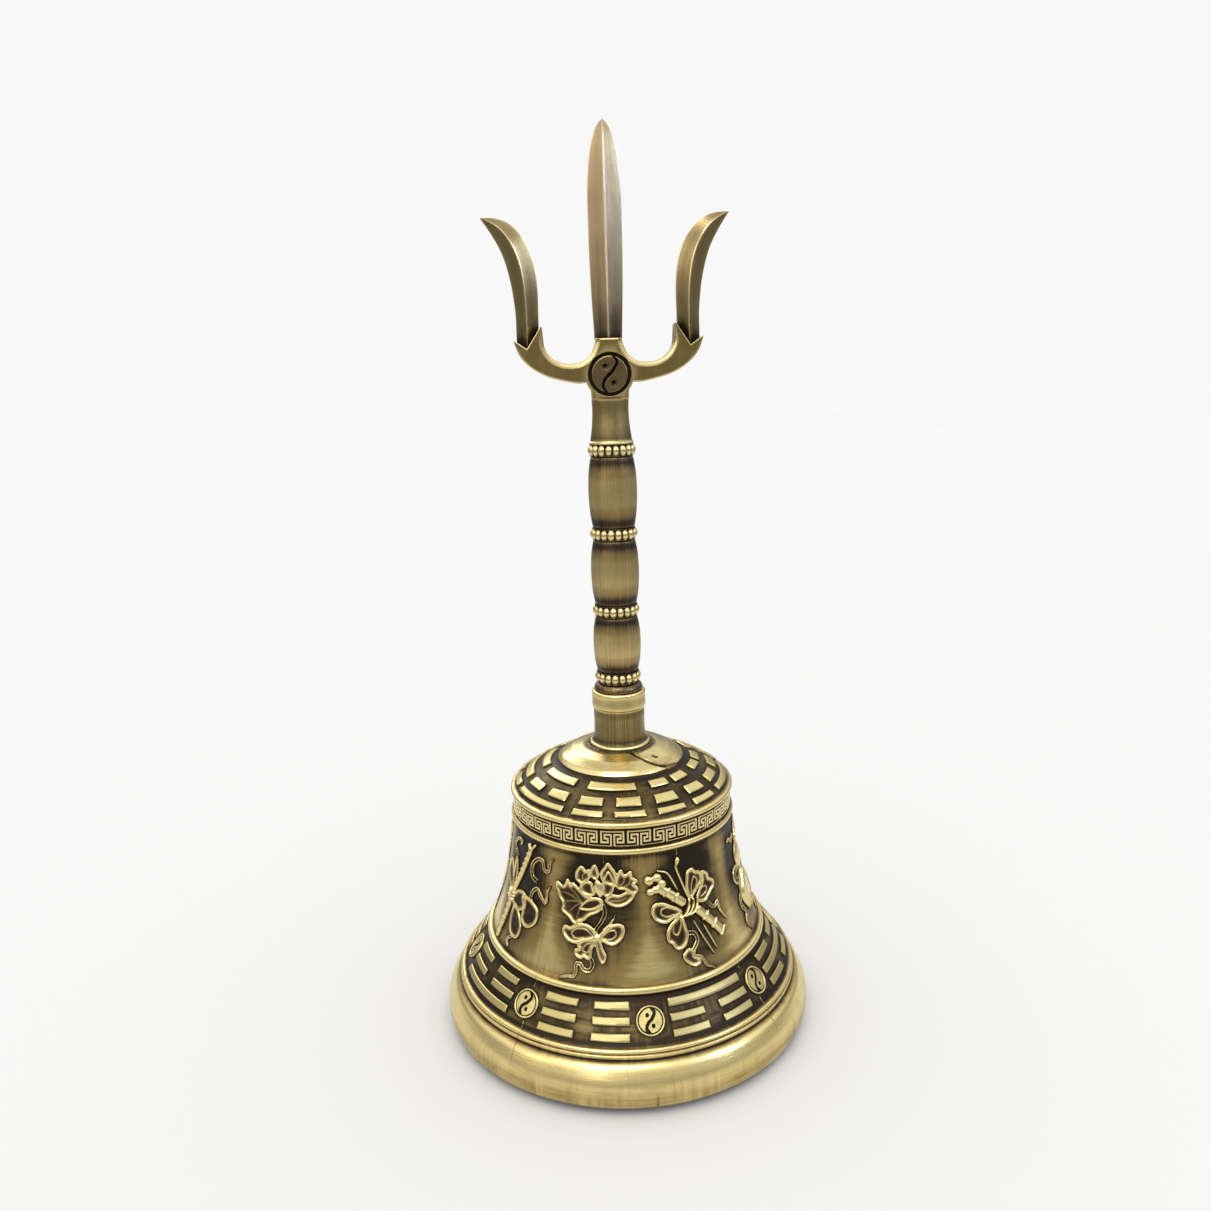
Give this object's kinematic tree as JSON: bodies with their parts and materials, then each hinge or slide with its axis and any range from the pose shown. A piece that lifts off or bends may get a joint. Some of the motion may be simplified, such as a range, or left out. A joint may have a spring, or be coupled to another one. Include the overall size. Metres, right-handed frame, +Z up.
{
  "type": "ritual hand bell",
  "caption": "Brass hand bell with a flared, relief-banded shell, a free-swinging clapper inside and a beaded handle that ends in a trident.",
  "frame": {"origin": "centre of the mouth, in the plane that the lip rests on", "axes": "+Z up along the handle to the tip of the middle blade; the trident lies in the XZ plane, with +X on the right prong's side, and -Y is the front"},
  "size_m": [0.095, 0.095, 0.2201],
  "materials": {
    "antique_brass": "antiqued cast brass, dark in the recesses and rubbed bright on the raised edges",
    "polished_brass": "turned and polished brass",
    "dark_brass": "brass left dark with patina",
    "steel": "plain turned steel"
  },
  "bodies": {
    "bell": {"bell_shell": "antique_brass", "handle_foot": "antique_brass", "foot_band": "polished_brass", "cushion_shoulder": "dark_brass", "bead_ring_1": "antique_brass", "bead_ring_2": "antique_brass", "bead_ring_3": "antique_brass", "bead_ring_4": "antique_brass", "grip_barrel_lower": "polished_brass", "grip_barrel_middle": "polished_brass", "grip_barrel_upper": "polished_brass", "neck": "antique_brass", "fork_crossbar": "antique_brass", "roundel_front": "polished_brass", "roundel_back": "polished_brass", "centre_blade": "antique_brass", "left_prong": "antique_brass", "right_prong": "antique_brass", "tie_rod": "steel", "crown_washer": "steel", "crown_nut": "steel"},
    "swivel": {"swivel_stirrup": "antique_brass", "stirrup_pin": "steel"},
    "clapper": {"clapper_rod": "steel", "clapper_ball": "antique_brass"}
  },
  "joints": [
    {"name": "clapper_turn", "type": "hinge", "parent": "bell", "child": "swivel", "pos_m": [0, 0, 0.0583], "axis": [0, 0, 1], "continuous": true},
    {"name": "clapper_swing", "type": "hinge", "parent": "swivel", "child": "clapper", "pos_m": [0, 0, 0.0515], "axis": [1, 0, 0], "range_deg": [-38.4, 38.4]}
  ]
}
